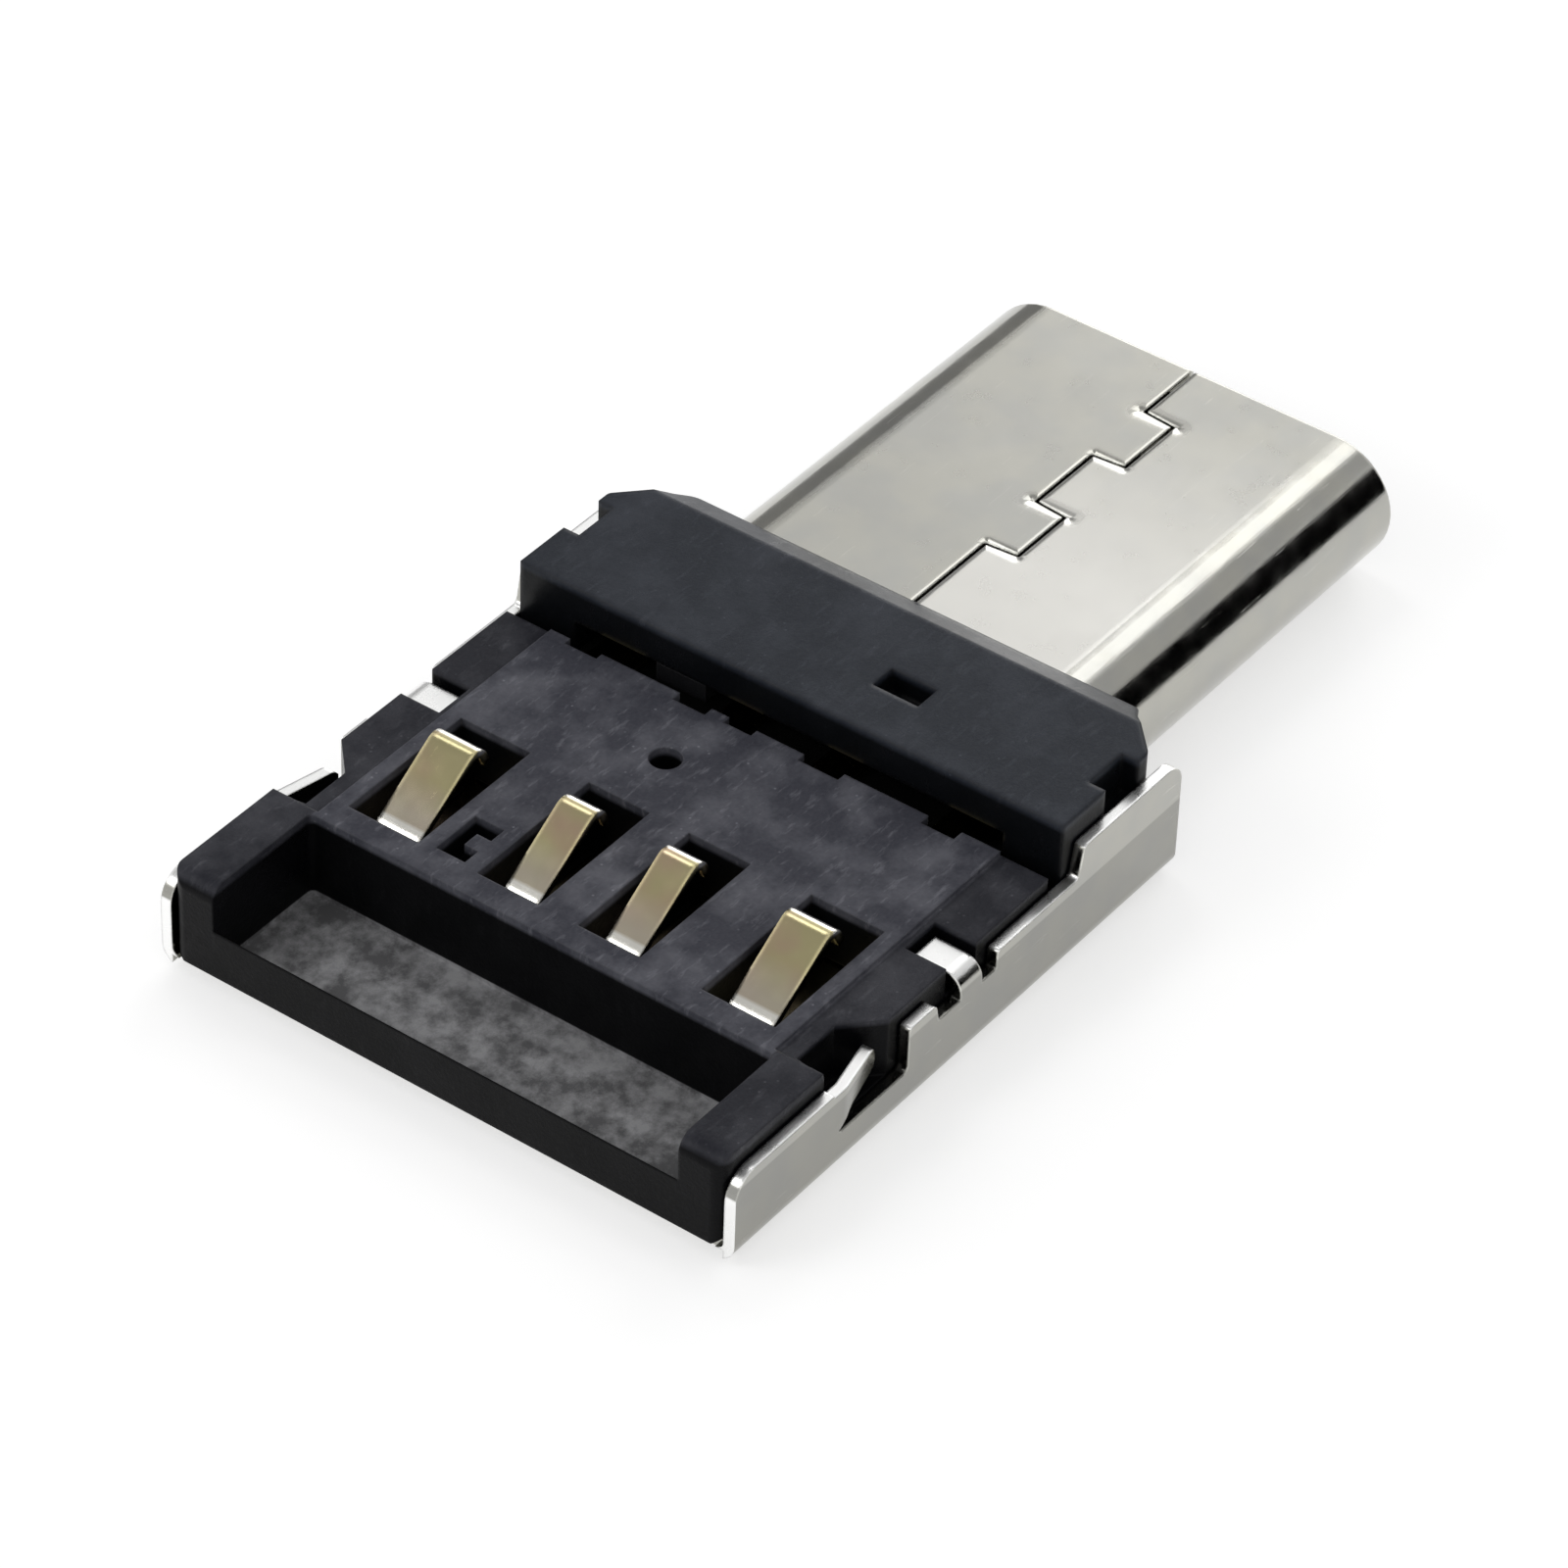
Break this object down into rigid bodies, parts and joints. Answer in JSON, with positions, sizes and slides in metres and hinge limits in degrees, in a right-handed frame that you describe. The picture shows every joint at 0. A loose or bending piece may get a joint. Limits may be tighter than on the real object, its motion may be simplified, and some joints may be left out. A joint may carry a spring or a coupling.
{
  "type": "usb-c otg adapter",
  "caption": "Clip-in plug adapter: a folded metal shell with a rolled usb-c plug at one end and a black contact tray with sprung usb-a contacts at the other.",
  "frame": {"origin": "Middle of the adapter's box, on the plane it lies on: the pressed ribs of its wide metal plate touch z = 0.", "axes": "+X toward the usb-c plug's mouth, +Z out of the side with the contacts, Y across the adapter."},
  "size_m": [0.0206, 0.0114, 0.0028],
  "materials": {
    "shell_metal": "satin nickel plate, slightly warm",
    "black_plastic": "moulded matte black, finely grained",
    "insulator_plastic": "moulded matte black",
    "contact_gold": "thin gold plate, satin",
    "solder": "bright solder",
    "spring_steel": "bright rolled",
    "board_resin": "solder-mask green",
    "resistor_ceramic": "matte body"
  },
  "bodies": {
    "root": {"cc_resistor": "resistor_ceramic", "circuit_board": "board_resin", "contact_data_minus": "contact_gold", "contact_data_plus": "contact_gold", "contact_ground": "contact_gold", "contact_tray": "black_plastic", "contact_vbus": "contact_gold", "front_block": "black_plastic", "ground_spring_lower": "spring_steel", "ground_spring_upper": "spring_steel", "metal_shell": "shell_metal", "plug_insulator": "insulator_plastic", "plug_latch": "spring_steel", "plug_pin_a1": "contact_gold", "plug_pin_a12": "contact_gold", "plug_pin_a4": "contact_gold", "plug_pin_a5": "contact_gold", "plug_pin_a6": "contact_gold", "plug_pin_a7": "contact_gold", "plug_pin_a9": "contact_gold", "plug_pin_b1": "contact_gold", "plug_pin_b12": "contact_gold", "plug_pin_b4": "contact_gold", "plug_pin_b9": "contact_gold", "solder_data_minus": "solder", "solder_data_plus": "solder", "solder_ground": "solder", "solder_vbus": "solder"}
  },
  "joints": []
}
